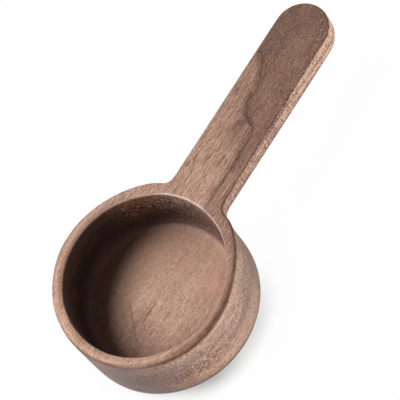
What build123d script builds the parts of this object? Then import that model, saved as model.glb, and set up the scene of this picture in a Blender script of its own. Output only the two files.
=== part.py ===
"""Walnut measuring scoop, cut from a single block: a round cup with a flat handle level with its rim.

Millimetres. The origin is the centre of the cup's base on the surface it stands on, +Z is up
and the handle runs along +X, as the grain of the block does.
"""

import os

from build123d import *

# cup
rim_outer_r = 27.5
wall_thickness = 3.25
cup_height = 22.8
floor_thickness = 6.2
floor_cove_r = 4.0
base_edge_r = 2.0

# handle, level with the rim: towards its round tip it narrows a little and grows thicker
handle_reach = 91.8
handle_root_width = 17.7
handle_tip_width = 17.0
handle_root_thickness = 5.8
handle_tip_thickness = 7.8
root_blend_r = 3.2

# eased edges
top_edge_r = 0.8
under_edge_r = 1.0
mouth_edge_r = 0.4

bore_r = rim_outer_r - wall_thickness
cup_depth = cup_height - floor_thickness
root_r = handle_root_width / 2
tip_r = handle_tip_width / 2
underside_at_wall = cup_height - handle_root_thickness
underside_at_tip = cup_height - handle_tip_thickness
underside_slope = (underside_at_tip - underside_at_wall) / (handle_reach - rim_outer_r)
underside_at_axis = underside_at_wall - underside_slope * rim_outer_r


def corner(sketch, x, y):
    """The corner of a sketch that lies at a place in its own plane."""
    return sketch.vertices().sort_by_distance((x, y))[0]


os.makedirs("parts", exist_ok=True)

with BuildPart() as handle:
    # plan: straight sides drawn over a root circle inside the cup and the round of the tip
    with BuildSketch(Plane.XY) as handle_plan:
        with Locations((rim_outer_r - root_r, 0)):
            Circle(root_r)
        with Locations((handle_reach - tip_r, 0)):
            Circle(tip_r)
        make_hull()
    extrude(amount=cup_height)

    # side view: the top is level, and the underside falls away towards the tip
    with BuildSketch(Plane.XZ) as handle_side:
        with BuildLine():
            Polyline(
                (0, cup_height),
                (0, underside_at_axis),
                (handle_reach, underside_at_tip),
                (handle_reach, cup_height),
                close=True,
            )
        make_face()
    extrude(amount=handle_root_width, both=True, mode=Mode.INTERSECT)
    fillet(handle.faces().sort_by(Axis.Z)[0].edges(), radius=under_edge_r)

with BuildPart() as scoop:
    # outside of the cup, turned
    with BuildSketch(Plane.YZ) as cup_section:
        with Locations((rim_outer_r / 2, cup_height / 2)):
            Rectangle(rim_outer_r, cup_height)
        fillet(corner(cup_section, rim_outer_r, 0), radius=base_edge_r)
    revolve(axis=Axis.Z)
    add(handle.part)

    # one hollow blend runs down both sides of the handle's root and under it
    fillet(scoop.edges().sort_by_distance((rim_outer_r, 0, underside_at_wall))[0], radius=root_blend_r)

    # the top edge is eased all round the rim and the handle
    fillet(scoop.edges().group_by(Axis.Z)[-1], radius=top_edge_r)
    uncut_volume = scoop.part.volume

    # hollow of the cup, with a cove where its wall meets the floor
    with BuildSketch(Plane.YZ) as hollow_section:
        with Locations((bore_r / 2, floor_thickness + cup_depth / 2)):
            Rectangle(bore_r, cup_depth)
        fillet(corner(hollow_section, bore_r, floor_thickness), radius=floor_cove_r)
    revolve(axis=Axis.Z, mode=Mode.SUBTRACT)
    print(f"holds {(uncut_volume - scoop.part.volume) / 1000:.1f} ml level with the rim")

    # mouth of the cup
    fillet(scoop.edges().sort_by_distance((0, bore_r, cup_height))[0], radius=mouth_edge_r)

scoop.part.label = "scoop"
export_step(scoop.part, "parts/scoop.step")
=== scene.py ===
"""A walnut measuring scoop, dressed for its portrait: one turned cup with a flat handle level with its rim.

The wood is one solid pattern on Object coordinates, so grain, figure and end grain meet at every edge.
Sizes are millimetres and are turned into metres where they meet Blender.
"""

from __future__ import annotations

import logging
import math
from dataclasses import astuple, dataclass
from enum import Enum
from typing import Any, Callable, Union

import bmesh
import bpy
from mathutils import Matrix, Vector

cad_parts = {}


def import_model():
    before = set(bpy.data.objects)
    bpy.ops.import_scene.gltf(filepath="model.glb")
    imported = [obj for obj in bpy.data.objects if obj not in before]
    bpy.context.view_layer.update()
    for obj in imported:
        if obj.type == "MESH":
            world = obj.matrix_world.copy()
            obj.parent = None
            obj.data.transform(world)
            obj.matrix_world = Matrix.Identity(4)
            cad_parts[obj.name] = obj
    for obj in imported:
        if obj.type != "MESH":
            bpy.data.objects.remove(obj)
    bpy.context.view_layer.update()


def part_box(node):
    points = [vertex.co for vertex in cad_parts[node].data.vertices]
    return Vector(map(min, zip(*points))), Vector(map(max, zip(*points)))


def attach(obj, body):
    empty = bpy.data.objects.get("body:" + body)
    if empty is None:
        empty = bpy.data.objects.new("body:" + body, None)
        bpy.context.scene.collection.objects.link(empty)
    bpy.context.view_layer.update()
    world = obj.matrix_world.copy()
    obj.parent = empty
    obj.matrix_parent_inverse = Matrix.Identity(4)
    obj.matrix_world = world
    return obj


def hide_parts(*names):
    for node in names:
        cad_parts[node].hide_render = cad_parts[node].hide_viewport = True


LOG = logging.getLogger("scoop")
MM = 0.001
NODE = "scoop"
BODY = "root"
WHITE = (1.0, 1.0, 1.0, 1.0)

# Two places of the cage are one when they lie nearer than this, in millimetres and in radians.
SAME_PLACE = 0.05
SAME_BEARING = 0.01

Colour = tuple[float, float, float]
Number = Union["Wire", float]


class Element(Enum):
    """The kinds of mesh element that a step works on, by the name of Blender's select mode."""

    VERTEX = "VERT"
    EDGE = "EDGE"
    FACE = "FACE"


class Pattern(Enum):
    """The wood's noise patterns: their cells along, across and up in millimetres, and their finer layers."""

    GREY_CLOUDS = (30.0, 9.0, 4.0, 2.0)
    WARM_CLOUDS = (14.0, 6.0, 6.0, 1.0)
    OLIVE_CLOUDS = (7.0, 2.4, 2.4, 1.0)
    SHEEN = (9.0, 2.0, 2.0, 2.0)
    RELIEF = (3.0, 0.3, 0.3, 2.0)
    BANDS = (60.0, 4.0, 4.0, 2.0)
    FIBRES = (7.0, 0.40, 0.40, 1.0)
    FLECKS = (1.5, 0.36, 0.36, 0.0)
    SPECKS = (0.42, 0.38, 0.38, 0.0)
    MOTTLE = (1.1, 0.8, 0.8, 1.0)
    PORES = (4.0, 0.30, 0.30, 0.0)
    EDGE_WEAR = (2.2, 1.2, 1.2, 2.0)
    STREAK_WANDER = (5.0, 3.0, 3.0, 2.0)
    STREAK_EDGE = (1.8, 1.6, 1.6, 1.0)
    STREAK_BEADS = (1.3, 1.1, 1.1, 0.0)
    HANDLE_RINGS = (16.0, 4.0, 4.0, 2.0)
    RIM_PATCHES = (5.0, 4.0, 4.0, 1.0)
    RIM_BLOTCHES = (1.8, 1.4, 1.4, 1.0)
    FLOOR_RINGS = (12.0, 12.0, 12.0, 2.0)
    FLOOR_LINES = (14.0, 0.6, 5.0, 0.0)
    VEIN_WANDER = (7.0, 7.0, 7.0, 2.0)
    CUP_SPECKS = (0.9, 0.65, 0.6, 1.0)
    WALL_BANDS = (50.0, 12.0, 3.2, 1.0)
    WALL_SPECKS = (0.7, 0.5, 0.5, 0.0)
    WALL_FIBRES = (2.6, 0.5, 0.45, 0.0)
    WALL_SCUFFS = (0.7, 0.55, 0.55, 0.0)
    SIDE_STROKES = (0.9, 5.0, 6.0, 0.0)
    SIDE_HAIRS = (0.38, 3.0, 2.0, 0.0)


@dataclass(frozen=True)
class Wire:
    """One output socket of a shader node, or None for a node without one. Arithmetic adds Math nodes."""

    tree: "ShaderTree"
    socket: bpy.types.NodeSocket | None

    def __add__(self, other: Number) -> "Wire":
        """Returns self + other."""
        return self.tree.math("ADD", self, other)

    __radd__ = __add__

    def __sub__(self, other: Number) -> "Wire":
        """Returns self - other."""
        return self.tree.math("SUBTRACT", self, other)

    def __rsub__(self, other: Number) -> "Wire":
        """Returns other - self."""
        return self.tree.math("SUBTRACT", other, self)

    def __mul__(self, other: Number) -> "Wire":
        """Returns self * other."""
        return self.tree.math("MULTIPLY", self, other)

    __rmul__ = __mul__

    def __truediv__(self, other: Number) -> "Wire":
        """Returns self / other."""
        return self.tree.math("DIVIDE", self, other)

    def __neg__(self) -> "Wire":
        """Returns -self."""
        return self * -1.0

    def __abs__(self) -> "Wire":
        """Returns the size of self."""
        return self.tree.math("ABSOLUTE", self)


class ShaderTree:
    """The node tree of a material or the world, filled through a few short methods."""

    def __init__(self, tree: bpy.types.NodeTree) -> None:
        """Starts on an empty tree.

        Args:
            tree: The node tree to fill. Its default nodes are removed.
        """
        self.tree = tree
        tree.nodes.clear()

    def node(
        self,
        kind: str,
        settings: dict[str, Any] | None = None,
        inputs: dict[str | int, Any] | None = None,
        output: str | int = 0,
    ) -> Wire:
        """Adds a node.

        Args:
            kind: The node's type, without the word ShaderNode.
            settings: Attributes set before the sockets, and a ramp's stops as pairs of place and colour.
            inputs: Values or wires for its input sockets, by name or number.
            output: The output socket to return.

        Returns:
            The wire out of the node.
        """
        made = self.tree.nodes.new("ShaderNode" + kind)
        for name, value in (settings or {}).items():
            if name == "stops":
                self._set_stops(made.color_ramp, value)
            else:
                setattr(made, name, value)
        for name, value in (inputs or {}).items():
            socket = made.inputs[name]
            if isinstance(value, Wire):
                self.tree.links.new(value.socket, socket)
            else:
                socket.default_value = value
        return Wire(self, made.outputs[output] if made.outputs else None)

    @staticmethod
    def _set_stops(ramp: bpy.types.ColorRamp, stops: list[tuple[float, Colour]]) -> None:
        """Gives a colour ramp its stops.

        Args:
            ramp: The ramp.
            stops: Its places from 0 to 1, each with a colour.
        """
        while len(ramp.elements) < len(stops):
            ramp.elements.new(1.0)
        for element, (place, colour) in zip(ramp.elements, stops):
            element.position = place
            element.color = (*colour, 1.0)

    def math(self, operation: str, *values: Number) -> Wire:
        """Adds a Math node.

        Args:
            operation: The node's operation.
            values: Its inputs in order.

        Returns:
            The result.
        """
        return self.node("Math", {"operation": operation}, dict(enumerate(values)))

    def step(self, value: Number, low: Number, high: Number) -> Wire:
        """Returns 0 where value is below low and 1 above high, with a smooth rise between them."""
        return self.node(
            "MapRange",
            {"interpolation_type": "SMOOTHSTEP", "clamp": True},
            {"Value": value, "From Min": low, "From Max": high},
        )

    def bump_at(self, value: Wire, centre: float, half_width: float) -> Wire:
        """Returns 1 where value is at centre, falling smoothly to 0 at half_width on both sides."""
        return 1.0 - self.step(abs(value - centre), 0.0, half_width)

    def larger(self, first: Number, second: Number) -> Wire:
        """Returns the larger of two values."""
        return self.math("MAXIMUM", first, second)

    def length(self, x: Wire, y: Wire) -> Wire:
        """Returns the length of a line that runs x one way and y the other."""
        return self.math("SQRT", x * x + y * y)

    def bearing(self, x: Wire, y: Wire) -> Wire:
        """Returns a place's bearing from the cup's middle, in degrees from the handle's direction."""
        return self.math("ARCTAN2", y, x) * math.degrees(1.0)

    def between(self, share: Number, first: Number, second: Number) -> Wire:
        """Returns a value that goes from first to second as share goes from 0 to 1."""
        settings = {"data_type": "FLOAT", "clamp_factor": True}
        return self.node("Mix", settings, {0: share, 2: first, 3: second})

    def object_point(self) -> Wire:
        """Returns the place on the object that is asked about, in millimetres."""
        return self.scaled(self.node("TexCoord", {}, {}, "Object"), (1 / MM, 1 / MM, 1 / MM))

    def separate(self, vector: Wire) -> tuple[Wire, Wire, Wire]:
        """Returns the three numbers that a vector is made of."""
        made = self.node("SeparateXYZ", {}, {"Vector": vector})
        return tuple(Wire(self, output) for output in made.socket.node.outputs)

    def scaled(self, vector: Wire, factors: tuple[float, float, float]) -> Wire:
        """Returns a vector with each of its numbers multiplied by its own factor."""
        return self.node("VectorMath", {"operation": "MULTIPLY"}, {0: vector, 1: factors})

    def blend(self, share: Number, first: Wire | Colour, second: Wire | Colour, mode: str = "MIX") -> Wire:
        """Mixes two colours.

        Args:
            share: How much of the second colour shows.
            first: The colour underneath.
            second: The colour on top.
            mode: The blend type.

        Returns:
            The mixed colour.
        """
        colours = [(*c, 1.0) if isinstance(c, tuple) else c for c in (first, second)]
        settings = {"data_type": "RGBA", "blend_type": mode, "clamp_factor": True}
        return self.node("Mix", settings, {0: share, 6: colours[0], 7: colours[1]}, output=2)


@dataclass(frozen=True)
class Place:
    """Where a point of the wood lies, as wires that a finish works from. Lengths are millimetres.

    A method that takes low and high returns 0 where its measure is under low, 1 where it is over high,
    and a smooth rise between them.
    """

    tree: ShaderTree
    scoop: "Scoop"
    point: Wire
    x: Wire
    y: Wire
    z: Wire
    radius: Wire
    bearing: Wire
    depth: Wire
    over_underside: Wire
    facing_along: Wire
    facing_far: Wire
    facing_up: Wire

    @classmethod
    def read(cls, tree: ShaderTree, scoop: "Scoop") -> "Place":
        """Returns the place that a shader is asked about.

        Args:
            tree: The material's tree.
            scoop: The piece that the shader dresses, whose sizes places are measured from.

        Returns:
            The place.
        """
        point = tree.object_point()
        x, y, z = tree.separate(point)
        along, far, up = tree.separate(tree.node("TexCoord", {}, {}, "Normal"))
        depth = scoop.height - z
        thickness = (x - scoop.rim_radius) * scoop.thickening + scoop.root_thickness
        return cls(
            tree=tree,
            scoop=scoop,
            point=point,
            x=x,
            y=y,
            z=z,
            radius=tree.length(x, y),
            bearing=tree.bearing(x, y),
            depth=depth,
            over_underside=thickness - depth,
            facing_along=along,
            facing_far=far,
            facing_up=up,
        )

    def along(self, low: float, high: float) -> Wire:
        """Measures the distance along the handle from the cup's middle."""
        return self.tree.step(self.x, low, high)

    def beyond(self, start: float) -> Wire:
        """Returns how far along the handle a place lies beyond start, or 0 before it."""
        return self.tree.larger(self.x - start, 0.0)

    def above(self, low: float, high: float) -> Wire:
        """Measures the height over the table."""
        return self.tree.step(self.z, low, high)

    def below_top(self, low: float, high: float) -> Wire:
        """Measures the depth under the rim's top."""
        return self.tree.step(self.depth, low, high)

    def past_bore(self, low: float, high: float) -> Wire:
        """Measures the distance outwards from the bore."""
        return self.tree.step(self.radius - self.scoop.bore, low, high)

    def past_rim(self, low: float, high: float) -> Wire:
        """Measures the distance outwards from the rim."""
        return self.tree.step(self.radius - self.scoop.rim_radius, low, high)

    def past_bearing(self, low: float, high: float) -> Wire:
        """Measures the bearing round the cup, in degrees from the handle."""
        return self.tree.step(self.bearing, low, high)

    def turned_up(self, low: float, high: float) -> Wire:
        """Measures how far the surface faces up, from -1 to 1."""
        return self.tree.step(self.facing_up, low, high)

    def near_bearing(self, centre: float, half_width: float) -> Wire:
        """Returns 1 at a bearing round the cup, falling to 0 at half_width degrees on both sides."""
        return self.tree.bump_at(self.bearing, centre, half_width)

    def towards(self, bearing: float) -> Wire:
        """Returns how far a place lies from the cup's middle in the direction of a bearing."""
        turn = math.radians(bearing)
        return self.x * math.cos(turn) + self.y * math.sin(turn)

    def noise(self, pattern: Pattern) -> Wire:
        """Adds a noise pattern.

        Args:
            pattern: Which one.

        Returns:
            Its value at this place, from 0 to 1 and mostly near 0.5.
        """
        *cell, layers = pattern.value
        place = self.tree.scaled(self.point, tuple(1.0 / size for size in cell))
        return self.tree.node("TexNoise", {}, {"Vector": place, "Scale": 1.0, "Detail": layers})

    def patches(self, pattern: Pattern, low: float, high: float) -> Wire:
        """Measures the value of a noise pattern."""
        return self.tree.step(self.noise(pattern), low, high)


@dataclass(frozen=True)
class Zones:
    """The scoop's zones, as wires that are 1 in a zone and 0 away from it."""

    sides: Wire
    cup_side: Wire
    inside: Wire
    inner_wall: Wire
    end_grain: Wire

    @classmethod
    def read(cls, at: Place) -> "Zones":
        """Works the zones out.

        Args:
            at: The place in the wood.

        Returns:
            How much the place belongs to each of them.
        """
        level = at.facing_up - at.along(42.0, 56.0) * 0.17
        sides = (1.0 - at.tree.step(level, 0.30, 0.80)) * at.past_bore(0.8, 1.6)
        inside = (1.0 - at.past_bore(0.2, 0.5)) * at.above(3.0, 5.0) * at.below_top(0.3, 0.9)
        return cls(
            sides=sides,
            cup_side=sides * (1.0 - at.past_rim(0.5, 2.5)),
            inside=inside,
            inner_wall=inside * (1.0 - at.turned_up(0.78, 0.98)),
            end_grain=at.tree.step(abs(at.facing_along), 0.45, 0.95),
        )


@dataclass(frozen=True)
class WalnutFinish:
    """Oiled walnut, sanded smooth: its tones, figure and pores, with painted light and shade. Lengths are
    millimetres.

    A tone is the red part of the wood's colour, from 0 to 1.
    """

    name: str = "walnut_oiled"
    tones: tuple[Colour, ...] = (
        (0.040, 0.017, 0.011),
        (0.100, 0.047, 0.031),
        (0.200, 0.103, 0.071),
        (0.350, 0.195, 0.137),
        (0.480, 0.286, 0.205),
        (0.700, 0.445, 0.330),
        (0.950, 0.605, 0.450),
    )
    grey_wood: Colour = (0.270, 0.190, 0.170)
    warm_wood: Colour = (0.520, 0.265, 0.175)
    olive_wood: Colour = (0.330, 0.235, 0.140)
    # Colour of the darkened top edges: painted shade on their near side, away from the key lamp.
    dark_edge: Colour = (0.125, 0.040, 0.013)
    # Pale colour of the mouth's edge: a painted highlight, partly pale worn wood.
    mouth_highlight_and_wear_colour: Colour = (0.800, 0.600, 0.500)
    shaded_edge: Colour = (0.138, 0.126, 0.126)
    pale_tone: float = 0.48
    brown_tone: float = 0.335
    floor_tone: float = 0.49
    # The inner wall's dark base tone is painted shade.
    shaded_inner_wall_tone: float = 0.112
    wall_tone: float = 0.43
    end_grain_tone: float = 0.27
    handle_side_tone: float = 0.53
    roughness: float = 0.60
    worn_roughness: float = 0.30
    specular: float = 0.25
    pore_depth: float = 0.05
    streak_start: float = -5.15
    outer_half: float = 60.0
    knot: tuple[float, float] = (51.4, -0.2)
    knot_shade: tuple[float, float] = (48.6, -0.4)
    large_pores: tuple[tuple[float, float], ...] = ((38.8, 2.6), (40.3, -1.2), (36.8, 6.4))
    border_inset: float = 0.35
    border_narrowing: float = 0.0063

    def material(self, scoop: "Scoop") -> bpy.types.Material:
        """Builds the material.

        Args:
            scoop: The piece that it dresses, whose sizes place the marks.

        Returns:
            The finished material.
        """
        made = bpy.data.materials.new(self.name)
        made.use_nodes = True
        tree = ShaderTree(made.node_tree)
        at = Place.read(tree, scoop)
        zones = Zones.read(at)
        pores = self._pores(at, zones)
        mouth_highlight_and_wear = self._mouth_edge_highlight_and_wear(at)
        colour = self._wood_colour(at, zones)
        # Painted shade on the near side of the rounded top edge, and a darker line along the other edges.
        colour = tree.blend(self._darken_edges(at), colour, self.dark_edge)
        # Painted highlight on the mouth's edge.
        colour = tree.blend(mouth_highlight_and_wear, colour, self.mouth_highlight_and_wear_colour)
        # Painted shade on the edges that turn under.
        colour = tree.blend(self._turned_under(at), colour, self.shaded_edge)
        colour = tree.blend(pores * 0.5, colour, self.tones[1])
        relief = (at.noise(Pattern.RELIEF) - pores) * (self.pore_depth * MM)
        sheen = (at.noise(Pattern.SHEEN) - 0.5) * 0.2 + self.roughness
        inputs = {
            "Base Color": colour,
            "Roughness": tree.between(mouth_highlight_and_wear, sheen, self.worn_roughness),
            "Normal": tree.node("Bump", {}, {"Height": relief, "Strength": 0.8, "Distance": 1.0}),
            "Specular IOR Level": self.specular,
        }
        surface = tree.node("BsdfPrincipled", {}, inputs)
        tree.node("OutputMaterial", {}, {"Surface": surface})
        return made

    def _wood_colour(self, at: Place, zones: Zones) -> Wire:
        """Colours the clean wood by its tone, greyed on the cup's side, with warm and olive clouds.

        Args:
            at: The place in the wood.
            zones: How much the place belongs to each zone.

        Returns:
            The colour, before wear and pores.
        """
        tree = at.tree
        palest = self.tones[-1][0]
        stops = [(colour[0] / palest, colour) for colour in self.tones]
        colour = tree.node("ValToRGB", {"stops": stops}, {"Fac": self._tone(at, zones) / palest})
        foot = zones.cup_side * (1.0 - at.above(6.0, 10.0)) * at.near_bearing(-85.0, 60.0)
        left = tree.step(-at.x, 15.0, 25.0) * 0.20
        right = at.past_bearing(-100.0, -78.0) * 0.10
        clouds = at.patches(Pattern.GREY_CLOUDS, 0.40, 0.60) * 0.42
        grey = zones.cup_side * (clouds + zones.end_grain * 0.30 + left + right)
        colour = tree.blend(grey * (1.0 - foot * 0.6), colour, self.grey_wood)
        colour = tree.blend(foot * 0.12, colour, self.warm_wood)
        # The inner wall is greyed, most up high, against the brown light that bounces round the cup.
        greyed_inside = zones.inner_wall * (at.above(8.0, 19.0) * 0.36 + 0.40)
        colour = tree.blend(greyed_inside, colour, self.grey_wood, "SATURATION")
        warmth = at.patches(Pattern.WARM_CLOUDS, 0.50, 0.72) * (1.0 - zones.end_grain) * 0.16
        blush = tree.bump_at(at.x, 10.0, 7.0) * tree.bump_at(at.y - at.x * 0.32, -14.3, 2.6)
        warmth = tree.larger(warmth, blush * zones.inside * 0.5)
        colour = tree.blend(warmth, colour, self.warm_wood)
        olive = at.patches(Pattern.OLIVE_CLOUDS, 0.50, 0.66) * (1.0 - zones.inner_wall) * 0.16
        return tree.blend(olive, colour, self.olive_wood, "COLOR")

    def _tone(self, at: Place, zones: Zones) -> Wire:
        """Puts the tones of all zones together, with the grain that runs through them.

        Args:
            at: The place in the wood.
            zones: How much the place belongs to each zone.

        Returns:
            The wood's tone.
        """
        tree = at.tree
        offset = self._streak_offset(at)
        tone = self._top_tone(at, offset)
        tone = tree.between(zones.inside, tone, self._floor_tone(at))
        tone = tree.between(zones.inner_wall, tone, self._inner_wall_tone(at))
        tone = tree.between(zones.sides, tone, self._side_tone(at, zones))
        return tone * self._grain(at, offset) * (1.0 - self._large_pores(at) * 0.75)

    def _streak_offset(self, at: Place) -> Wire:
        """Measures the distance from the dark streak, across the grain.

        The streak leaves the mouth near the handle's near edge, swings round a small knot and runs off the
        far edge before the tip. It leans a little on its way down through the wood.

        Args:
            at: The place in the wood.

        Returns:
            The distance, positive on the streak's light side.
        """
        past_knot = at.beyond(self.outer_half)
        swing = at.along(51.0, 54.6) * 3.1 + at.along(48.0, 59.0) * 3.7 + at.along(70.5, 75.0) * 1.4
        swing = swing + past_knot * past_knot * 0.032
        wander = (at.noise(Pattern.STREAK_WANDER) - 0.5) * 0.4 + (at.noise(Pattern.STREAK_EDGE) - 0.5) * 0.9
        return at.y - self.streak_start - swing + wander - at.depth * 0.35

    def _top_tone(self, at: Place, offset: Wire) -> Wire:
        """Shades the rim's and the handle's top: pale before the streak and brown beyond it.

        Args:
            at: The place in the wood.
            offset: How far the place lies from the streak.

        Returns:
            The top's tone.
        """
        tree = at.tree
        pale = self.pale_tone - at.along(28.0, 74.0) * 0.14 + tree.step(-at.x, 12.0, 24.0) * 0.06
        brown = self.brown_tone - at.along(36.0, 47.0) * 0.14 - at.along(66.0, 90.0) * 0.022
        near_edge = at.along(54.0, 62.0) * 0.028 + tree.bump_at(at.x, 54.0, 8.0) * 0.035
        brown = brown + tree.step(-at.y, 1.0, 5.0) * near_edge
        softness = at.along(38.0, 47.0) * 1.5 + 1.6
        share = (1.0 - tree.step(offset, -0.2, softness)) * at.along(-8.0, 6.0)
        tone = tree.between(share, pale, brown) + self._rim_tone(at)
        rings = tree.math("SINE", offset * 3.4 + at.noise(Pattern.HANDLE_RINGS) * 9.0)
        rings = tree.step(rings, 0.3, 1.0) * share * at.along(46.0, 53.0) * 0.10
        dark = self._streak(at, offset) + self._knot(at) + rings
        return tone * (1.0 - tree.math("MINIMUM", dark, 0.62))

    def _streak(self, at: Place, offset: Wire) -> Wire:
        """Draws the streak: a beaded line with soft bands, which fades towards the far edge.

        Args:
            at: The place in the wood.
            offset: How far the place lies from the streak.

        Returns:
            How dark it is, from 0 to 1.
        """
        tree = at.tree
        root = at.along(22.0, 30.0)
        beyond_knot = at.along(46.0, 53.0)
        steep = tree.bump_at(at.x, 52.8, 2.2)
        width = tree.step(offset, -0.2, 0.2) * 0.30 - beyond_knot * 0.18 + steep * 1.9 + 0.62
        beads = at.patches(Pattern.STREAK_BEADS, 0.38, 0.62) * 0.40 + 0.80
        line = (1.0 - tree.step(abs(offset) / width, 0.0, 1.0)) * (steep * 0.10 + 0.46) * beads
        line = line * root * (1.0 - at.along(69.5, 73.0) * 0.7)
        band = tree.bump_at(offset, 1.2, 2.8) * root * (1.0 - beyond_knot) * 0.19
        band = band + tree.bump_at(offset, -1.0, 1.9) * tree.bump_at(at.x, 42.0, 8.0) * 0.20
        fading = tree.bump_at(offset, 0.4, 3.0) * at.along(66.0, 72.0) * 0.14
        return line + band + fading

    def _knot(self, at: Place) -> Wire:
        """Draws the small knot: a ring, its soft middle and a long shade before it.

        Args:
            at: The place in the wood.

        Returns:
            How dark it is, from 0 to 1.
        """
        tree = at.tree
        from_knot = tree.length(at.x - self.knot[0], at.y - self.knot[1])
        shade = tree.length((at.x - self.knot_shade[0]) / 1.8, at.y - self.knot_shade[1])
        ring = tree.bump_at(from_knot, 0.75, 0.6) * 0.42
        return ring + tree.bump_at(from_knot, 0.0, 2.2) * 0.14 + tree.bump_at(shade, 0.0, 5.2) * 0.42

    def _rim_tone(self, at: Place) -> Wire:
        """Shades the rim: painted light on its outer side and painted shade on its inner side, towards the
        key lamp.

        Args:
            at: The place in the wood.

        Returns:
            What the top's tone gains, which is below 0 where it darkens.
        """
        tree = at.tree
        from_bore = at.radius - at.scoop.bore
        # Painted light and shade on the key lamp's side: a paler outer band and a darker inner band.
        inner = (1.0 - at.past_bore(0.15, 1.55)) * -0.12
        outer = tree.bump_at(from_bore, 1.95, 0.9) * (at.near_bearing(118.0, 22.0) * 0.12 + 0.07)
        lit = (inner + outer - at.past_bore(2.25, 2.85) * 0.07) * tree.step(at.towards(120.0), 2.0, 14.0)
        # Painted highlight: a pale line along the shoulder of the rim's low left.
        low_left = (1.0 - at.past_bearing(-138.0, -118.0)) * at.past_bearing(-179.0, -168.0)
        spiral = (1.0 - at.past_bearing(-170.0, -100.0)) * 1.7
        shoulder_highlight = tree.bump_at(from_bore - spiral, 0.35, 0.5) * low_left * 0.12
        patches = (at.noise(Pattern.RIM_PATCHES) - 0.5) * (1.0 - at.along(-4.0, 12.0)) * 0.30
        blotches = at.patches(Pattern.RIM_BLOTCHES, 0.35, 0.60) * 0.5 + 0.6
        band = tree.bump_at(from_bore, 1.7, 1.0) * at.near_bearing(-106.0, 42.0) * blotches * 0.22
        # Painted light: a paler patch on the rim's right side, against the shade of its rounding.
        painted_light_right = at.near_bearing(-66.0, 24.0) * at.past_bore(0.15, 1.15) * 0.13
        return lit + shoulder_highlight + patches - band + painted_light_right

    def _floor_tone(self, at: Place) -> Wire:
        """Shades the cup's floor: painted light in its middle, painted shade at its edge, a thin dark vein
        and fine lines.

        Args:
            at: The place in the wood.

        Returns:
            The floor's tone.
        """
        tree = at.tree
        rings = tree.math("SINE", at.radius * 2.6 + at.noise(Pattern.FLOOR_RINGS) * 5.0) * 0.012
        along = at.towards(45.0)
        from_vein = at.towards(135.0) - 10.0 + (at.noise(Pattern.VEIN_WANDER) - 0.5) * 2.0
        vein = tree.bump_at(from_vein, 0.0, 0.45) * tree.step(along, -13.0, -10.5)
        vein = vein * (1.0 - tree.step(along, 0.0, 3.5))
        lines = tree.bump_at(tree.length(at.x + 6.0, at.y * 1.6), 0.0, 10.0)
        lines = lines * at.patches(Pattern.FLOOR_LINES, 0.49, 0.64)
        # Painted shade in the cove on the key lamp's side, where the wall's shadow falls.
        cove_shade = tree.step(at.radius, 17.0, 23.0) * tree.step(at.towards(135.0), 8.1, 20.2) * 0.18
        # Painted light: a pale pool in the floor's middle.
        middle = tree.bump_at(tree.length(at.x + 3.0, at.y - 3.5), 0.0, 8.5) * 0.13
        low = tree.step(at.towards(-146.0), 8.0, 18.0) * 0.035
        # Painted shade: the floor darkens towards its edge.
        tone = self.floor_tone - tree.step(at.radius, 5.0, 21.0) * 0.13 - cove_shade + rings + middle - low
        return tone * (1.0 - vein * 0.34) * (1.0 - lines * 0.52)

    def _inner_wall_tone(self, at: Place) -> Wire:
        """Shades the cup's inner wall: painted shade, with paler specks and a band under the mouth painted
        light.

        Args:
            at: The place in the wood.

        Returns:
            The inner wall's tone.
        """
        tree = at.tree
        end_grain = tree.step(-at.facing_along, 0.35, 0.75)
        unlit = tree.step(-at.facing_far, -0.1, 0.6)
        high = at.above(8.0, 19.0)
        mouth = at.above(16.5, 21.5)
        low = at.above(5.0, 12.0) * (1.0 - unlit) * 0.8
        deep = (1.0 - at.above(12.0, 17.0)) * tree.step(at.towards(126.9), 12.0, 22.0)
        specks = at.patches(Pattern.CUP_SPECKS, 0.48, 0.62) * end_grain * tree.larger(high, low)
        # Painted light: the specks and the band under the mouth are paler where the key lamp does not reach.
        specks = specks * (unlit * 0.63 + mouth * (unlit * 0.13 + 0.15) + 0.27)
        mouth = mouth * (end_grain * unlit * 0.30 + 0.10)
        # Painted shade: the dark base tone, and more shade low on the wall towards bearing 127 degrees.
        return specks + mouth + end_grain * high * 0.035 - deep * 0.045 + self.shaded_inner_wall_tone

    def _side_tone(self, at: Place, zones: Zones) -> Wire:
        """Shades the outside wall and the handle's sides, which are calmer on the far side, darkened with
        painted shade.

        Args:
            at: The place in the wood.
            zones: How much the place belongs to each zone.

        Returns:
            The sides' tone.
        """
        far_side = at.tree.step(at.facing_far, -0.1, 0.5)
        contrast = 1.0 - far_side * 0.4
        on_handle = at.past_rim(0.5, 2.0)
        wall = self._wall_tone(at, zones.end_grain, contrast)
        tone = at.tree.between(on_handle, wall, self._handle_side_tone(at, contrast))
        # Painted shade: the far side, which faces the key lamp, is darkened.
        return tone * (1.0 - far_side * (on_handle * 0.14 + 0.24))

    def _wall_tone(self, at: Place, end_grain: Wire, contrast: Wire) -> Wire:
        """Shades the cup's outside: dark on end grain, pale round the foot, with a pale band of painted light
        under the rim.

        Args:
            at: The place in the wood.
            end_grain: How much end grain the place shows.
            contrast: How strong the fine grain is.

        Returns:
            The outside wall's tone.
        """
        tree = at.tree
        bands = (at.noise(Pattern.WALL_BANDS) - 0.5) * 0.30
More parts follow.
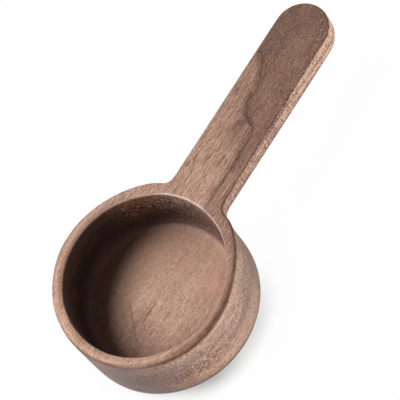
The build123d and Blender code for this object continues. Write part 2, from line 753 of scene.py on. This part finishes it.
        # Painted light: a pale band under the rim, fainter past bearing -60 degrees.
        under_rim = at.above(15.5, 20.5) * (0.19 - at.past_bearing(-72.0, -55.0) * 0.12)
        foot = (1.0 - at.above(7.6, 9.6)) * at.near_bearing(-98.0, 65.0) * 0.20
        middle = tree.bump_at(at.z, 11.5, 4.0) * -0.04
        fibres = (at.noise(Pattern.WALL_FIBRES) - 0.5) * (1.0 - end_grain) * 0.7
        fine = ((at.noise(Pattern.WALL_SPECKS) - 0.5) * 0.8 + fibres) * contrast
        scuffs = at.patches(Pattern.WALL_SCUFFS, 0.54, 0.68) * at.above(8.0, 16.0)
        scuffs = scuffs * at.near_bearing(-118.0, 42.0) * 0.34
        tone = tree.between(end_grain, at.along(-14.0, 2.0) * 0.17 + self.wall_tone, self.end_grain_tone)
        tone = tone + bands + under_rim + foot + middle + fine + scuffs
        return tree.larger(tone, 0.21 - end_grain * 0.12)

    def _handle_side_tone(self, at: Place, contrast: Wire) -> Wire:
        """Shades the handle's sides: upright strokes and hairs, lines that run lengthways, and painted shade
        low down.

        Args:
            at: The place in the wood.
            contrast: How strong the fine grain is.

        Returns:
            The tone of the handle's sides.
        """
        tree = at.tree
        strokes = (at.patches(Pattern.SIDE_STROKES, 0.36, 0.64) - 0.5) * (at.along(46.0, 62.0) * 0.10 + 0.13)
        hairs = (at.noise(Pattern.SIDE_HAIRS) - 0.5) * 0.9
        calm = 1.0 - at.along(78.0, 86.0) * 0.6
        tone = (strokes + hairs) * calm * contrast + self.handle_side_tone + at.along(54.0, 76.0) * 0.36
        outer_half = at.along(60.0, 70.0)
        # Painted shade along the lower edge of the handle's sides.
        low = 1.0 - tree.step(at.over_underside - outer_half * 0.5, 1.5, 2.7)
        low = low * (tree.bump_at(at.x, 72.0, 12.0) * 0.24 + outer_half * 0.06 + 0.24)
        stripe = tree.bump_at(at.depth, 2.1, 1.3) * (1.0 - at.along(58.0, 68.0)) * 0.26
        below_line = at.depth - at.beyond(self.outer_half) * 0.12 - 1.1
        red_line = tree.bump_at(below_line, 0.0, 1.1) * at.along(42.0, 54.0) * 0.48
        pale_line = tree.bump_at(below_line, 1.6, 1.2) * at.along(50.0, 60.0) * 0.20
        return tone * (stripe + pale_line - low - red_line + 1.0)

    def _grain(self, at: Place, offset: Wire) -> Wire:
        """Draws the grain: fibres on pale wood, and more specks beyond the streak.

        Args:
            at: The place in the wood.
            offset: How far the place lies from the streak.

        Returns:
            A factor near 1 for the tone.
        """
        tree = at.tree
        dark_wood = (1.0 - tree.step(offset, 0.0, 4.0)) * at.along(40.0, 54.0)
        sunk = (1.0 - at.above(12.0, 16.0)) * (tree.step(at.towards(45.0), -9.9, 2.83) * 0.40 + 1.0)
        on_rim = (1.0 - at.along(4.0, 24.0)) * 0.62
        worn = at.above(20.0, 22.0) * tree.step(at.towards(-116.6), 3.58, 14.3)
        strength = 1.0 - tree.larger(dark_wood * 0.4, tree.larger(sunk * 0.53, on_rim))
        bands = (at.noise(Pattern.BANDS) - 0.5) * (0.40 - dark_wood * 0.16)
        fibres = (at.noise(Pattern.FIBRES) - 0.5) * 1.2 + (at.noise(Pattern.FLECKS) - 0.5) * 0.9
        specks = (at.noise(Pattern.SPECKS) - 0.5) * (dark_wood * 1.1 - sunk * 0.25 - worn * 0.45 + 1.0)
        mottle = (at.noise(Pattern.MOTTLE) - 0.5) * dark_wood * 0.9
        return bands + fibres * strength + specks + mottle + 0.97

    def _pores(self, at: Place, zones: Zones) -> Wire:
        """Returns where the open pores are: short dashes along the grain, mostly closed on the cup's side."""
        smooth = zones.inside * at.tree.step(at.towards(45.0), -9.9, 2.83) * 0.6
        return at.patches(Pattern.PORES, 0.64, 0.74) * (1.0 - at.tree.larger(zones.cup_side * 0.9, smooth))

    def _large_pores(self, at: Place) -> Wire:
        """Returns a few single dark pores on the handle that are larger than the rest."""
        dashes = [at.tree.bump_at(at.x, x, 1.9) * at.tree.bump_at(at.y, y, 0.5) for x, y in self.large_pores]
        return sum(dashes, start=0.0) * at.above(22.0, 22.5)

    def _darken_edges(self, at: Place) -> Wire:
        """Darkens the rounded top edge, most on the near side, where it is painted shade away from the key
        lamp.

        Args:
            at: The place in the wood.

        Returns:
            How much the edge's colour shows, from 0 to 1.
        """
        tree = at.tree
        outer = at.past_bore(1.0, 1.6) * (1.0 - at.below_top(2.0, 2.6))
        line = at.turned_up(0.20, 0.45) * (1.0 - at.turned_up(0.66, 0.86))
        crest = (1.0 - line) * at.turned_up(0.45, 0.66) * (1.0 - at.turned_up(0.84, 0.97)) * 0.4 + line
        near_side = tree.step(-at.facing_far, -0.25, 0.35)
        on_rim = 1.0 - at.past_rim(1.0, 6.0)
        uneven = at.noise(Pattern.EDGE_WEAR) * 0.9 + 0.55
        # Painted shade: how dark the edge is on the far side, on the handle and round the rim, unevenly.
        far_darkening = at.along(58.0, 75.0) * 0.36 + at.near_bearing(27.0, 13.0) * on_rim * 0.40 + 0.29
        far_darkening = far_darkening + (at.near_bearing(95.0, 40.0) + at.near_bearing(168.0, 22.0)) * 0.22
        handle_edge_shade = 0.56 - at.along(30.0, 38.0) * 0.14 - at.along(43.0, 53.0) * 0.42
        rim_edge_shade = 0.74 + at.near_bearing(-30.0, 14.0) * 0.15 - at.near_bearing(-92.0, 12.0) * 0.14
        rim_edge_shade = rim_edge_shade - at.near_bearing(-153.0, 20.0) * 0.50 - at.near_bearing(-68.0, 24.0) * 0.24
        edge_mark = tree.between(near_side, far_darkening, tree.between(on_rim, handle_edge_shade, rim_edge_shade)) * uneven
        # Painted shade on the band that faces sideways just under the rim's top edge, on the right.
        below = (1.0 - tree.step(abs(at.facing_up), 0.1, 0.3)) * (1.0 - at.below_top(1.3, 1.9))
        shaded_bearings = at.past_bearing(-80.0, -60.0) * (1.0 - at.past_bearing(-24.0, -12.0)) * on_rim
        edge_mark = tree.larger(crest * edge_mark, below * shaded_bearings * 0.5)
        return outer * tree.larger(edge_mark, self._border(at) * uneven)

    def _border(self, at: Place) -> Wire:
        """Draws a darker line just inside the handle's outline, on its far side and round its tip.

        Args:
            at: The place in the wood.

        Returns:
            How strong the line is, from 0 to 1.
        """
        tree = at.tree
        past_centre = at.beyond(at.scoop.tip_centre)
        narrowing = (at.x - past_centre - at.scoop.rim_radius) * self.border_narrowing
        far = tree.step(at.y, 0.0, 4.0)
        from_outline = tree.length(past_centre, at.y) + narrowing - far * 0.20 - at.scoop.tip_width / 2
        line = tree.step(from_outline, -self.border_inset, 0.2) * at.turned_up(0.2, 0.5)
        share = at.along(27.0, 31.0) * (far * 0.38 + 0.12) + at.along(56.0, 72.0) * (0.33 - far * 0.20)
        near = tree.step(-at.y, 2.0, 6.0) * (1.0 - at.along(84.0, 89.0))
        return line * share * (1.0 - near * 0.6)

    def _turned_under(self, at: Place) -> Wire:
        """Paints shade in grey on the edges that turn under, the foot's and the handle's.

        Args:
            at: The place in the wood.

        Returns:
            How much the grey shows, from 0 to 1.
        """
        on_handle = at.past_rim(0.5, 2.5)
        foot = (1.0 - at.above(1.9, 2.9)) * (at.near_bearing(-105.0, 60.0) * 0.40 + 0.40)
        handle = (1.0 - at.tree.step(at.over_underside, 1.0, 1.9)) * on_handle * 0.80
        return at.tree.larger(foot * (1.0 - on_handle), handle) * at.past_bore(1.0, 1.6)

    def _mouth_edge_highlight_and_wear(self, at: Place) -> Wire:
        """Paints a pale highlight on the mouth's edge, which is also worn smooth, most beside the handle's
        root.

        Args:
            at: The place in the wood.

        Returns:
            How strong the painted highlight and the wear are, from 0 to 1.
        """
        edge = (1.0 - at.below_top(0.9, 1.3)) * (1.0 - at.past_bore(0.7, 1.1))
        crest = at.turned_up(0.0, 0.1) * (1.0 - at.turned_up(0.97, 0.998))
        edge_mark = at.past_bearing(-38.0, -27.0) * 0.34 + at.past_bearing(-14.0, -2.0) * 0.51 + 0.1
        edge_mark = edge_mark - at.past_bearing(18.0, 30.0) * 0.62 - at.past_bearing(45.0, 90.0) * 0.20
        return edge * crest * edge_mark


@dataclass(frozen=True)
class RimStation:
    """How hand work has left the rim at one bearing round the cup. Lengths are millimetres."""

    bearing: float
    outer_offset: float
    mouth_offset: float
    rounding: float
    mouth_rounding: float = 0.45


@dataclass
class Scoop:
    """The scoop: cup, rim and handle in one mesh. Lengths are millimetres."""

    rim_radius: float
    height: float
    reach: float
    wall: float = 3.25
    floor: float = 6.2
    floor_cove: float = 4.0
    base_edge: float = 2.0
    handle_edge: float = 0.5
    under_edge: float = 1.15
    tip_under_edge: float = 2.2
    root_blend: float = 2.0
    root_length: float = 3.0
    root_width: float = 17.9
    tip_width: float = 17.0
    root_thickness: float = 5.8
    tip_thickness: float = 7.8
    sharp_angle: float = 40.0
    sides: int = 38
    handle_sides: int = 4
    stations: int = 4
    tip_steps: int = 18
    levels: int = 2
    rim_stations: tuple[RimStation, ...] = (
        RimStation(-165, 0.0, 0.0, 1.3),
        RimStation(-135, 0.0, 0.0, 2.0),
        RimStation(-115, -0.1, 0.0, 2.4),
        RimStation(-90, -0.85, 0.0, 1.9),
        RimStation(-65, -1.2, 0.0, 1.1),
        RimStation(-45, -0.05, 0.0, 0.8),
        RimStation(-29, 1.15, 0.2, 0.7),
        RimStation(-19, 0.35, 0.2, 0.6),
        RimStation(0, 0.0, 0.3, 0.5),
        RimStation(19, 0.4, 0.3, 0.5, 0.6),
        RimStation(30, 0.8, -0.1, 0.5, 0.8),
        RimStation(40, 0.35, -0.25, 0.6, 0.7),
        RimStation(50, -0.05, -0.28, 0.7, 0.7),
        RimStation(62, -0.16, -0.2, 0.8, 0.8),
        RimStation(80, 0.0, -0.2, 0.8, 1.3),
        RimStation(100, 0.3, -0.2, 0.8, 1.2),
        RimStation(120, 0.05, -0.28, 0.9, 0.6),
        RimStation(135, 0.1, -0.18, 0.9),
        RimStation(150, 0.0, -0.17, 1.0),
        RimStation(180, 0.05, -0.13, 1.0),
    )

    @classmethod
    def from_frame(cls) -> "Scoop":
        """Returns a scoop whose overall sizes are those of the CAD node."""
        low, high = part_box(NODE)
        return cls(rim_radius=high.y / MM, height=high.z / MM, reach=high.x / MM)

    @property
    def bore(self) -> float:
        """The radius of the cup's inside."""
        return self.rim_radius - self.wall

    @property
    def tip_centre(self) -> float:
        """How far along the handle the centre of its round tip lies."""
        return self.reach - self.tip_width / 2

    @property
    def thickening(self) -> float:
        """How much thicker the handle grows with each millimetre along it."""
        return (self.tip_thickness - self.root_thickness) / (self.tip_centre - self.rim_radius)

    @property
    def cage_radius(self) -> float:
        """The corner radius of the cage ring that subdivision draws in to the rim's radius."""
        return self.rim_radius * self._growth

    @property
    def _growth(self) -> float:
        """How much larger a ring of the cage is than the circle that subdivision makes of it."""
        return 6.0 / (4.0 + 2.0 * math.cos(2.0 * math.pi / self.sides))

    @property
    def _root_bearing(self) -> float:
        """The bearing of the cage's corner between the cup and the handle's side."""
        return math.pi / self.sides * self.handle_sides

    @property
    def underside(self) -> float:
        """The height of the handle's underside where it meets the cup."""
        return self.height - self.root_thickness

    def _at_bearing(self, bearing: float) -> RimStation:
        """Works out the rim's shape at any bearing, eased between the stations on both sides of it.

        Args:
            bearing: The bearing round the cup, in degrees from the handle.

        Returns:
            The rim's shape there.
        """
        stations = sorted(self.rim_stations, key=lambda station: (station.bearing - bearing) % 360.0)
        after, before = stations[0], stations[-1]
        gap = (after.bearing - before.bearing) % 360.0
        share = ((bearing - before.bearing) % 360.0) / gap
        share = share * share * (3.0 - 2.0 * share)
        shapes = list(zip(astuple(before), astuple(after)))[1:]
        return RimStation(bearing, *(first + (second - first) * share for first, second in shapes))

    def build(self) -> bpy.types.Object:
        """Models the scoop.

        Returns:
            The finished piece, with its place in its mesh.
        """
        piece = self._turn_cup()
        self._pull_handle(piece)
        self._round_tip(piece)
        self._unround_rim(piece)
        self._blend_root(piece)
        self._ease_edges(piece)
        self._smooth(piece)
        return piece

    def _turn_cup(self) -> bpy.types.Object:
        """Makes the cup's cage: a cylinder cut round at the handle's underside and hollowed from above.

        Returns:
            The cage, in edit mode.
        """
        bpy.ops.object.select_all(action="DESELECT")
        bpy.ops.mesh.primitive_cylinder_add(
            vertices=self.sides,
            radius=self.cage_radius * MM,
            depth=self.height * MM,
            location=(0, 0, self.height / 2 * MM),
            rotation=(0, 0, math.pi / 2),
        )
        piece = bpy.context.object
        piece.name = "walnut_scoop"
        bpy.ops.object.transform_apply(location=True, rotation=True, scale=True)
        bpy.ops.object.mode_set(mode="EDIT")
        bpy.ops.mesh.select_all(action="SELECT")
        bpy.ops.mesh.bisect(plane_co=(0, 0, self.underside * MM), plane_no=(0, 0, 1))
        select(piece, Element.FACE, lambda face: face.normal.z > 0.9)
        bpy.ops.mesh.extrude_region()
        shrink = self.bore / self.rim_radius
        bpy.ops.transform.resize(value=(shrink, shrink, 1), center_override=(0, 0, self.height * MM))
        depth = (self.floor - self.height) * MM
        bpy.ops.mesh.extrude_region_move(TRANSFORM_OT_translate={"value": (0, 0, depth)})
        return piece

    def _pull_handle(self, piece: bpy.types.Object) -> None:
        """Pulls the handle out of the cup's wall, as far as the centre of its round tip.

        Args:
            piece: The scoop, in edit mode.
        """
        first = self.rim_radius + self.root_length
        select(piece, Element.FACE, self._is_root_face)
        width = 2 * self.cage_radius * math.sin(self._root_bearing)
        thickness = self.root_thickness
        place = self.rim_radius
        for number in range(self.stations + 1):
            station = first + (self.tip_centre - first) * number / self.stations
            share = (station - self.rim_radius) / (self.tip_centre - self.rim_radius)
            new_width = self.root_width + (self.tip_width - self.root_width) * share
            new_thickness = self.root_thickness + (self.tip_thickness - self.root_thickness) * share
            move = ((station - place) * MM, 0, 0)
            bpy.ops.mesh.extrude_region_move(TRANSFORM_OT_translate={"value": move})
            bpy.ops.transform.resize(
                value=(0, new_width / width, new_thickness / thickness),
                center_override=(station * MM, 0, self.height * MM),
            )
            place, width, thickness = station, new_width, new_thickness

    def _is_root_face(self, face: bmesh.types.BMFace) -> bool:
        """Tells whether the handle grows out of a face of the cup's cage.

        Args:
            face: The face.

        Returns:
            Whether it does.
        """
        middle = face.calc_center_median() / MM
        bearing = abs(math.atan2(middle.y, middle.x))
        outside = math.hypot(middle.x, middle.y) > self.rim_radius - self.wall / 2
        upright = abs(face.normal.z) < 0.1
        return outside and upright and middle.z > self.underside and bearing < self._root_bearing

    def _round_tip(self, piece: bpy.types.Object) -> None:
        """Spins half of the handle's end section round the centre of the tip.

        Args:
            piece: The scoop, in edit mode.
        """
        centre = self.tip_centre * MM
        tolerance = 0.01 * MM

        def in_section(vertex: bmesh.types.BMVert) -> bool:
            """Whether a corner lies in the end section."""
            return abs(vertex.co.x - centre) < tolerance

        select(piece, Element.FACE, lambda face: all(in_section(v) for v in face.verts))
        bpy.ops.mesh.delete(type="FACE")
        select(
            piece,
            Element.EDGE,
            lambda edge: all(in_section(v) and v.co.y > -tolerance for v in edge.verts)
            and max(v.co.y for v in edge.verts) > tolerance,
        )
        bpy.ops.mesh.spin(steps=self.tip_steps, angle=math.pi, center=(centre, 0, 0), axis=(0, 0, 1))
        bpy.ops.mesh.select_all(action="SELECT")
        bpy.ops.mesh.remove_doubles(threshold=tolerance)
        bpy.ops.mesh.normals_make_consistent(inside=False)

    def _blend_root(self, piece: bpy.types.Object) -> None:
        """Rounds the hollow corner that runs down both sides of the handle's root and under it."""
        select(piece, Element.EDGE, self._is_root_edge)
        bpy.ops.mesh.bevel(offset=self.root_blend * MM, segments=3, profile=0.5, affect="EDGES")

    def _is_root_edge(self, edge: bmesh.types.BMEdge) -> bool:
        """Tells whether an edge of the cage lies in the hollow corner between cup and handle.

        Args:
            edge: The edge.

        Returns:
            Whether it does.
        """
        ends = [v.co / MM for v in edge.verts]
        most_moved = max(abs(station.outer_offset) for station in self.rim_stations)
        if any(abs(math.hypot(p.x, p.y) - self.cage_radius) > most_moved + SAME_PLACE for p in ends):
            return False
        bearings = [abs(math.atan2(p.y, p.x)) for p in ends]
        if abs(ends[0].z - ends[1].z) > 1.0:
            at_side = all(abs(b - self._root_bearing) < SAME_BEARING for b in bearings)
            return at_side and min(p.z for p in ends) > self.underside - SAME_PLACE
        under_handle = all(b < self._root_bearing + SAME_BEARING for b in bearings)
        return under_handle and all(abs(p.z - self.underside) < SAME_PLACE for p in ends)

    def _unround_rim(self, piece: bpy.types.Object) -> None:
        """Moves the corners of the rim's two edges in or out a little, as hand work leaves them.

        Args:
            piece: The scoop, in edit mode.
        """
        top = (0, 0, self.height * MM)
        for number in range(self.sides):
            bearing = 360.0 / self.sides * number
            shape = self._at_bearing(bearing)
            for cage_radius, offset in (
                (self.cage_radius, shape.outer_offset),
                (self.bore * self._growth, shape.mouth_offset),
            ):
                place = direction(bearing, 0.0) * cage_radius
                place.z = self.height
                if select(piece, Element.VERTEX, lambda vertex: (vertex.co / MM - place).length < SAME_PLACE):
                    scale = 1.0 + offset / cage_radius
                    bpy.ops.transform.resize(value=(scale, scale, 1), center_override=top)

    def _top_edge_radius(self, place: Vector) -> float:
        """Works out how far the top's edge is rounded: by the rim's shape, and less on the handle.

        Args:
            place: The middle of an edge of the top.

        Returns:
            The radius in millimetres.
        """
        shape = self._at_bearing(math.degrees(math.atan2(place.y, place.x)))
        radius = math.hypot(place.x, place.y)
        if radius < self.bore + 0.8:
            return shape.mouth_rounding
        share = min(1.0, max(0.0, (radius - self.rim_radius - 1.0) / 2.0))
        return shape.rounding + (self.handle_edge - shape.rounding) * share

    def _edge_radius(self, edge: bmesh.types.BMEdge) -> float:
        """How far an edge of the cage is rounded.

        Args:
            edge: The edge, with both of its faces.

        Returns:
            The radius in millimetres, or 0 for an edge that stays.
        """
        if len(edge.link_faces) != 2 or edge.calc_face_angle(0.0) < math.radians(self.sharp_angle):
            return 0.0
        middle = (edge.verts[0].co + edge.verts[1].co) / 2 / MM
        radius = math.hypot(middle.x, middle.y)
        if abs(middle.z - self.height) < SAME_PLACE:
            return self._top_edge_radius(middle)
        if middle.z < SAME_PLACE:
            return self.base_edge
        if radius < self.bore + 0.5 and abs(middle.z - self.floor) < SAME_PLACE:
            return self.floor_cove
        share = min(1.0, max(0.0, (middle.x - self.reach + 16.0) / 8.0))
        return self.under_edge + (self.tip_under_edge - self.under_edge) * share

    def _ease_edges(self, piece: bpy.types.Object) -> None:
        """Rounds every sharp edge of the cage by its own radius, and leaves edit mode.

        Args:
            piece: The scoop, in edit mode.
        """
        mesh = bmesh.from_edit_mesh(piece.data)
        weight = mesh.edges.layers.float.new("bevel_weight_edge")
        for edge in mesh.edges:
            edge[weight] = self._edge_radius(edge) / self.floor_cove
        bmesh.update_edit_mesh(piece.data)
        bpy.ops.object.mode_set(mode="OBJECT")
        bevel = piece.modifiers.new("eased_edges", "BEVEL")
        bevel.limit_method = "WEIGHT"
        bevel.width = self.floor_cove * MM
        bevel.segments = 3
        bevel.use_clamp_overlap = False
        bpy.ops.object.modifier_apply(modifier=bevel.name)

    def _smooth(self, piece: bpy.types.Object) -> None:
        """Subdivides the cage and shades it smooth.

        Args:
            piece: The scoop.
        """
        smooth = piece.modifiers.new("smoothed", "SUBSURF")
        smooth.levels = self.levels
        smooth.render_levels = self.levels
        bpy.ops.object.modifier_apply(modifier=smooth.name)
        bpy.ops.object.shade_smooth()

    def dress(self, piece: bpy.types.Object, finish: WalnutFinish) -> None:
        """Gives the piece its finish and its place in the frame.

        Args:
            piece: The scoop.
            finish: What it is made of.
        """
        piece.data.materials.clear()
        piece.data.materials.append(finish.material(self))
        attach(piece, BODY)
        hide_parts(NODE)


@dataclass(frozen=True)
class Lamp:
    """A lamp that stands far away. Angles are degrees, and the bearing starts from the handle's direction."""

    name: str
    bearing: float
    elevation: float
    spread: float
    strength: float


@dataclass
class Studio:
    """The floor, the light and the camera. Lengths are millimetres, angles degrees."""

    camera_bearing: float = -110.52
    camera_elevation: float = 59.66
    camera_roll: float = -39.56
    camera_distance: float = 864.5
    camera_aim: tuple[float, float, float] = (26.31, -2.24, 22.8)
    lens: float = 278.8
    lamps: tuple[Lamp, ...] = (
        Lamp("key", bearing=115.0, elevation=50.0, spread=33.0, strength=3.75),
        Lamp("table_glow", bearing=-80.0, elevation=-22.0, spread=40.0, strength=1.7),
    )
    sky_strength: float = 0.02
    floor_size: float = 3000.0
    floor_colour: Colour = (0.93, 0.90, 0.91)
    floor_whiteness: float = 0.985
    shadow_strength: float = 0.58
    shadow_start: float = 26.0
    shadow_end: float = 33.0
    shadow_bearing: float = -119.0

    def build(self) -> None:
        """Makes the table, the sky, the lamps and the camera."""
        self._lay_floor()
        self._light_sky()
        for lamp in self.lamps:
            self._hang(lamp)
        self._set_camera()

    def _seen_directly(self, tree: ShaderTree) -> Wire:
        """Tells rays that show the background from rays that light the object.

        Args:
            tree: The shader to add to.

        Returns:
            1 for rays from the camera, or by way of gloss or glass, and 0 for light.
        """
        rays = ("Is Camera Ray", "Is Glossy Ray", "Is Transmission Ray")
        camera, gloss, glass = (tree.node("LightPath", output=ray) for ray in rays)
        return tree.larger(camera, tree.larger(gloss, glass))

    def _kept_shadow(self, tree: ShaderTree) -> Wire:
        """Keeps some of the scoop's shadow on the white table, by the foot and away from the lamp.

        Args:
            tree: The table's shader.

        Returns:
            How much of the shadow shows, from 0 to 1.
        """
        x, y, _ = tree.separate(tree.object_point())
        near_foot = 1.0 - tree.step(tree.length(x, y), self.shadow_start, self.shadow_end)
        darkest = tree.bump_at(tree.bearing(x, y), self.shadow_bearing, 28.0)
        return near_foot * tree.step(-x - y, -12.0, 24.0) * (darkest * 0.45 + 0.55) * self.shadow_strength

    def _lay_floor(self) -> None:
        """Lays a white table under the scoop, which keeps a faint shadow."""
        bpy.ops.object.select_all(action="DESELECT")
        bpy.ops.mesh.primitive_plane_add(size=self.floor_size * MM)
        table = bpy.context.object
        table.name = "table"
        finish = bpy.data.materials.new("white_table")
        finish.use_nodes = True
        tree = ShaderTree(finish.node_tree)
        matt = tree.node("BsdfDiffuse", {}, {"Color": (*self.floor_colour, 1.0)})
        white = tree.node("Emission", {}, {"Color": WHITE, "Strength": 1.0})
        share = self._seen_directly(tree) * (self.floor_whiteness - self._kept_shadow(tree))
        surface = tree.node("MixShader", {}, {0: share, 1: matt, 2: white})
        tree.node("OutputMaterial", {}, {"Surface": surface})
        table.data.materials.append(finish)
        table.visible_shadow = False

    def _light_sky(self) -> None:
        """Gives the world a weak even light, and a white look behind the table."""
        world = bpy.data.worlds.new("studio")
        bpy.context.scene.world = world
        world.use_nodes = True
        tree = ShaderTree(world.node_tree)
        dim = tree.node("Background", {}, {"Color": WHITE, "Strength": self.sky_strength})
        white = tree.node("Background", {}, {"Color": WHITE, "Strength": 1.0})
        surface = tree.node("MixShader", {}, {0: self._seen_directly(tree), 1: dim, 2: white})
        tree.node("OutputWorld", {}, {"Surface": surface})

    def _hang(self, lamp: Lamp) -> None:
        """Hangs a lamp and turns it towards the scoop.

        Args:
            lamp: Where it stands and how strong it is.
        """
        light = bpy.data.lights.new(lamp.name, "SUN")
        light.energy = lamp.strength
        light.angle = math.radians(lamp.spread)
        hung = bpy.data.objects.new(lamp.name, light)
        bpy.context.scene.collection.objects.link(hung)
        hung.rotation_euler = direction(lamp.bearing, lamp.elevation).to_track_quat("Z", "Y").to_euler()

    def _set_camera(self) -> None:
        """Sets the camera at the photograph's viewing angle."""
        back = direction(self.camera_bearing, self.camera_elevation)
        turn = back.to_track_quat("Z", "Y").to_matrix().to_4x4()
        roll = Matrix.Rotation(math.radians(self.camera_roll), 4, "Z")
        place = (Vector(self.camera_aim) + back * self.camera_distance) * MM
        lens = bpy.data.cameras.new("portrait")
        lens.lens = self.lens
        lens.clip_start = 10 * MM
        camera = bpy.data.objects.new("portrait", lens)
        camera.matrix_world = Matrix.Translation(place) @ turn @ roll
        bpy.context.scene.collection.objects.link(camera)
        bpy.context.scene.camera = camera


def select(piece: bpy.types.Object, kind: Element, test: Callable[[Any], bool]) -> int:
    """Selects, in edit mode, just the elements of a mesh that pass a test.

    Args:
        piece: The object in edit mode.
        kind: Which kind of element to select.
        test: Says of one element whether it is selected.

    Returns:
        How many elements are selected.
    """
    bpy.ops.mesh.select_mode(type=kind.value)
    bpy.ops.mesh.select_all(action="DESELECT")
    mesh = bmesh.from_edit_mesh(piece.data)
    elements = {Element.VERTEX: mesh.verts, Element.EDGE: mesh.edges, Element.FACE: mesh.faces}[kind]
    chosen = [element for element in elements if test(element)]
    for element in chosen:
        element.select_set(True)
    mesh.select_flush_mode()
    bmesh.update_edit_mesh(piece.data)
    return len(chosen)


def direction(bearing: float, elevation: float) -> Vector:
    """Returns the unit vector towards a bearing from the handle's direction and an elevation, in degrees."""
    turn, rise = math.radians(bearing), math.radians(elevation)
    return Vector((math.cos(turn) * math.cos(rise), math.sin(turn) * math.cos(rise), math.sin(rise)))


def main() -> None:
    """Builds the scoop and its studio."""
    logging.basicConfig(level=logging.INFO, format="%(message)s")
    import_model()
    bpy.context.scene.view_settings.view_transform = "Standard"

    scoop = Scoop.from_frame()
    piece = scoop.build()
    scoop.dress(piece, WalnutFinish())
    LOG.info("%s: %d faces", piece.name, len(piece.data.polygons))
    Studio().build()
    LOG.info("studio: table, sky, lamps and camera")


if __name__ == "__main__":
    main()
